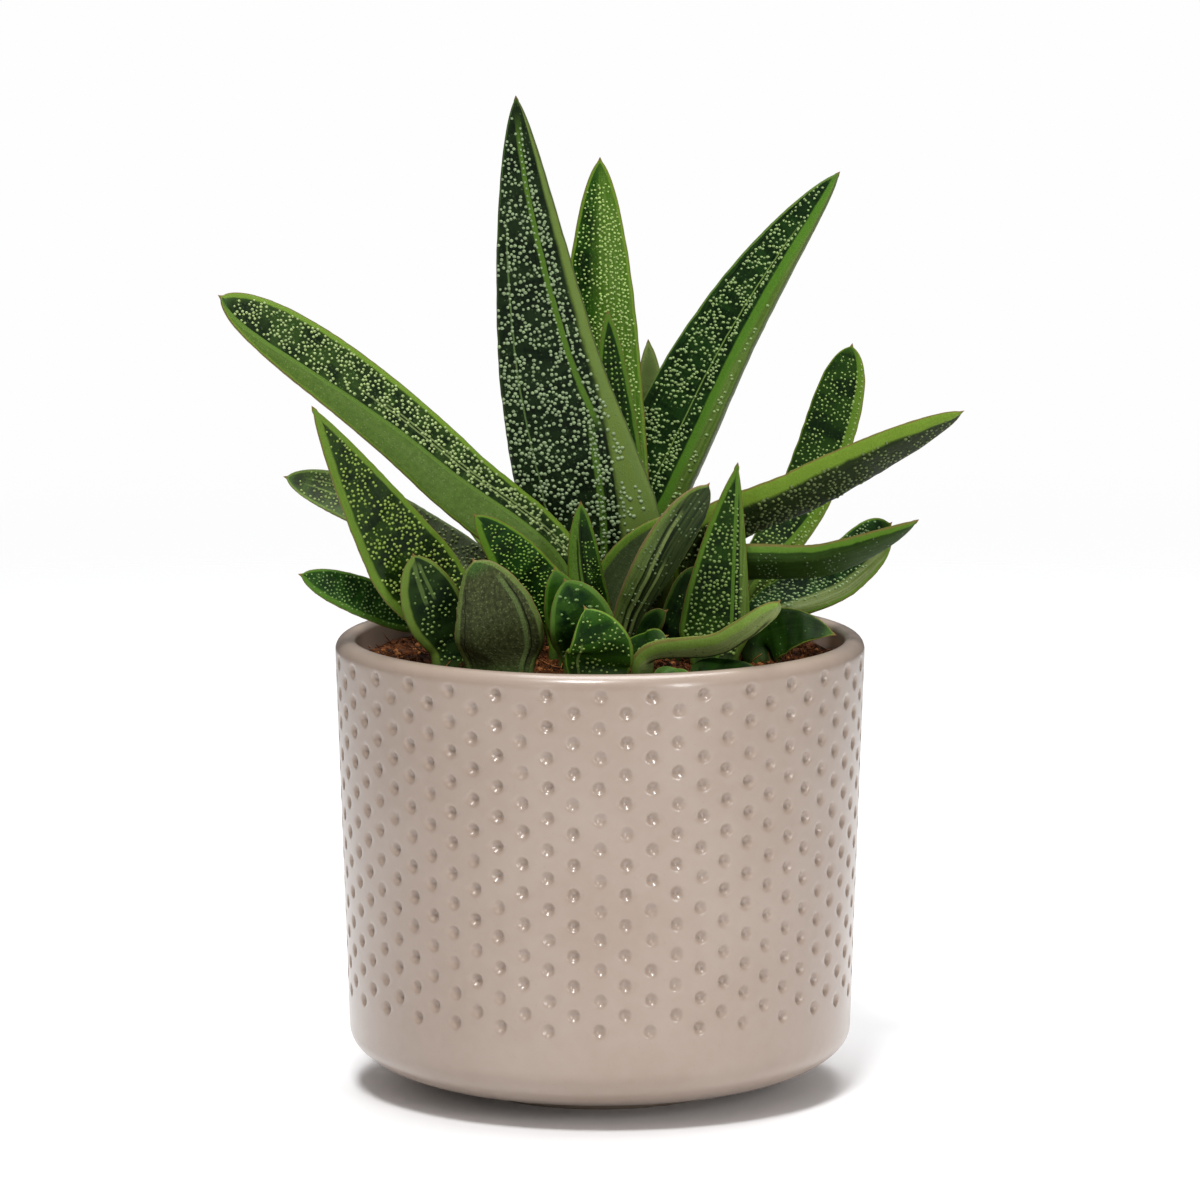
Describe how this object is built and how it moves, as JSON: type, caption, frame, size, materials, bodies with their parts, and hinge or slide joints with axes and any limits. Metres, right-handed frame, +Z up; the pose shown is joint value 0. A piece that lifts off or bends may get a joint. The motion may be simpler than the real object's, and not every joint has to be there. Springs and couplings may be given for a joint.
{
  "type": "potted gasteria",
  "caption": "Clump of warty gasteria, with long keeled tongue-shaped leaves, standing in coarse fibre in a dimpled ceramic pot.",
  "frame": {"origin": "centre of the pot's flat foot, on the surface that the pot stands on", "axes": "+Z up along the pot's axis, -Y towards the front that the picture shows, +X to the right seen from the front"},
  "size_m": [0.195, 0.148, 0.264],
  "materials": {
    "pot_glaze": "satin taupe glaze, speckled faintly",
    "soil_fibre": "coarse matt coconut fibre, reddish brown",
    "leaf_skin": "waxy dark green with pale warts and bright margins"
  },
  "bodies": {
    "root": {"pot": "pot_glaze", "soil": "soil_fibre", "leaf_centre_tall": "leaf_skin", "leaf_centre_behind": "leaf_skin", "leaf_centre_inner": "leaf_skin", "leaf_right_tall": "leaf_skin", "leaf_back_upright": "leaf_skin", "leaf_left_long": "leaf_skin", "leaf_front_left_pointed": "leaf_skin", "leaf_front_small_upright": "leaf_skin", "leaf_centre_grey": "leaf_skin", "leaf_left_upright": "leaf_skin", "leaf_front_left_narrow": "leaf_skin", "leaf_front_left_broad": "leaf_skin", "leaf_left_far": "leaf_skin", "leaf_left_low": "leaf_skin", "leaf_front_hood_back": "leaf_skin", "leaf_front_hood_middle": "leaf_skin", "leaf_front_short": "leaf_skin", "leaf_front_right_keeled": "leaf_skin", "leaf_right_upright": "leaf_skin", "leaf_right_long": "leaf_skin", "leaf_right_back": "leaf_skin", "leaf_right_pointed": "leaf_skin", "leaf_right_broad": "leaf_skin", "leaf_right_curved": "leaf_skin", "leaf_right_low": "leaf_skin", "leaf_front_right_flat": "leaf_skin", "leaf_front_right_tiny": "leaf_skin", "leaf_inner_dark": "leaf_skin", "leaf_inner_small": "leaf_skin", "leaf_front_right_sprout": "leaf_skin", "leaf_rear_left": "leaf_skin", "leaf_rear_centre": "leaf_skin", "leaf_rear_right": "leaf_skin", "leaf_rear_low_left": "leaf_skin", "leaf_rear_low_right": "leaf_skin"}
  },
  "joints": []
}
